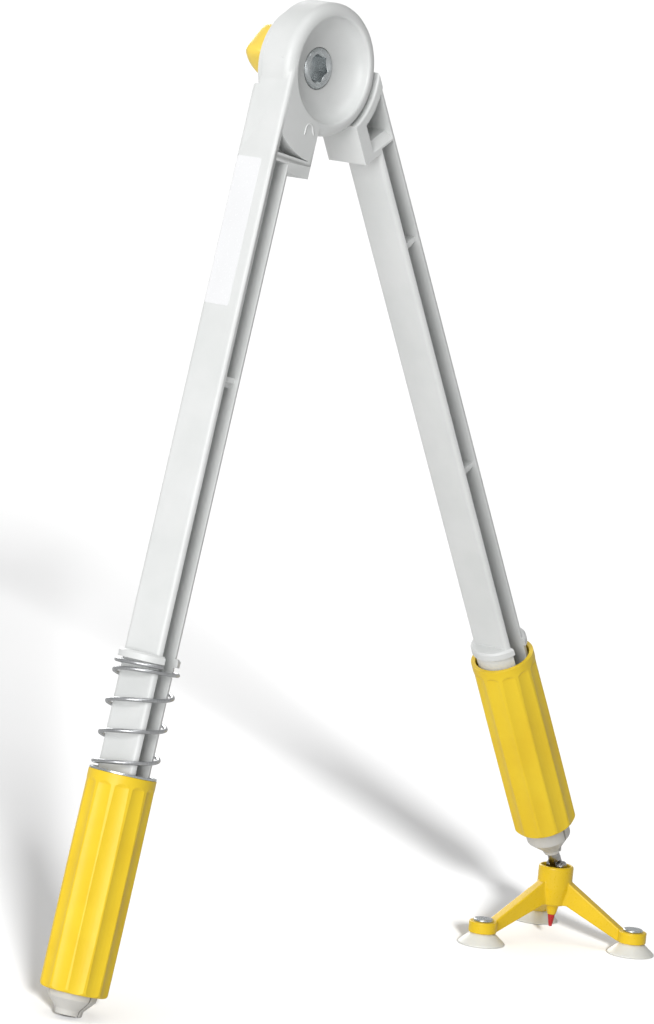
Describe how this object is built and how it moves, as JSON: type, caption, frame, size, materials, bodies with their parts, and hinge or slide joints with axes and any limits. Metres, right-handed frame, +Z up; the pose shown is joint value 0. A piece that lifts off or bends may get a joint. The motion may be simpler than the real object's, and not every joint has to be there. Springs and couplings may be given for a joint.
{
  "type": "chalkboard compass",
  "caption": "Board compass with channel legs on a clamped hub, a spring chuck for chalk or a marker, and a pivot foot on a swivelling suction tripod.",
  "frame": {"origin": "centre of the bounding box on the surface that the compass stands on", "axes": "+Z up, +X from the marker leg to the foot leg, hub axis along Y with the bowl at -Y"},
  "size_m": [0.4295, 0.1034, 0.4883],
  "materials": {
    "white_leg": "satin",
    "white_jaw": "satin",
    "yellow_sleeve": "semi-gloss",
    "yellow_tripod": "semi-gloss",
    "yellow_knob": "semi-gloss",
    "fibre": "matt",
    "red_tip": "gloss",
    "white_cup": "satin",
    "black_washer": "matt",
    "dark_steel": "polished",
    "spring_steel": "bright",
    "zinc": "zinc plated"
  },
  "bodies": {
    "marker_leg": {"left_hub": "white_leg", "left_leg": "white_leg", "friction_disc": "fibre", "pivot_bolt": "zinc", "bolt_washer": "zinc", "marker_spring": "spring_steel"},
    "foot_leg": {"right_leg": "white_leg", "foot_sleeve": "yellow_sleeve", "foot_jaw_1": "white_jaw", "foot_jaw_2": "white_jaw", "foot_jaw_3": "white_jaw", "foot_pin": "dark_steel"},
    "knob": {"clamp_knob": "yellow_knob", "knob_nut": "zinc", "rear_washer": "zinc"},
    "sleeve": {"marker_sleeve": "yellow_sleeve", "spring_washer": "zinc"},
    "jaw_1": {"marker_jaw_1": "white_jaw"},
    "jaw_2": {"marker_jaw_2": "white_jaw"},
    "jaw_3": {"marker_jaw_3": "white_jaw"},
    "fork": {"swivel_fork": "dark_steel", "knuckle_rivet": "dark_steel"},
    "tripod_foot": {"tripod": "yellow_tripod", "tripod_socket": "yellow_tripod", "thrust_washer": "black_washer", "centre_tip": "red_tip", "suction_cup_1": "white_cup", "suction_cup_2": "white_cup", "suction_cup_3": "white_cup", "cup_rivet_1": "zinc", "cup_rivet_2": "zinc", "cup_rivet_3": "zinc"}
  },
  "joints": [
    {"name": "leg_opening", "type": "hinge", "parent": "marker_leg", "child": "foot_leg", "pos_m": [-0.08783, 0.00498, 0.456], "axis": [0, 1, 0], "range_deg": [-59.55, 40.45]},
    {"name": "knob_turn", "type": "hinge", "parent": "marker_leg", "child": "knob", "pos_m": [-0.08783, 0.00498, 0.456], "axis": [0, 1, 0], "range_deg": [0, 360]},
    {"name": "sleeve_slide", "type": "slide", "parent": "marker_leg", "child": "sleeve", "axis": [0.1942, 0, 0.981], "range_m": [0, 0.02], "stiffness_N_per_m": 400, "springref_m": -0.01, "deforming": ["marker_spring"]},
    {"name": "jaw_1_open", "type": "hinge", "parent": "marker_leg", "child": "jaw_1", "pos_m": [-0.18895, 0.01188, 0.06112], "axis": [0.981, 0, -0.1942], "range_deg": [0, 4]},
    {"name": "jaw_2_open", "type": "hinge", "parent": "marker_leg", "child": "jaw_2", "pos_m": [-0.19481, 0.00153, 0.06228], "axis": [-0.4905, 0.866, 0.0971], "range_deg": [0, 4]},
    {"name": "jaw_3_open", "type": "hinge", "parent": "marker_leg", "child": "jaw_3", "pos_m": [-0.18309, 0.00153, 0.05996], "axis": [-0.4905, -0.866, 0.0971], "range_deg": [0, 4]},
    {"name": "foot_tilt", "type": "hinge", "parent": "foot_leg", "child": "fork", "pos_m": [0.17095, 0.00498, 0.04], "axis": [0, 1, 0], "range_deg": [-79.25, 20.75]},
    {"name": "foot_swivel", "type": "hinge", "parent": "fork", "child": "tripod_foot", "pos_m": [0.17095, 0.00498, 0], "axis": [0, 0, 1], "continuous": true}
  ],
  "couplings": [
    {"joint": "jaw_1_open", "follows": "sleeve_slide", "rad_per_m": 3.4898},
    {"joint": "jaw_2_open", "follows": "sleeve_slide", "rad_per_m": 3.4898},
    {"joint": "jaw_3_open", "follows": "sleeve_slide", "rad_per_m": 3.4898}
  ]
}
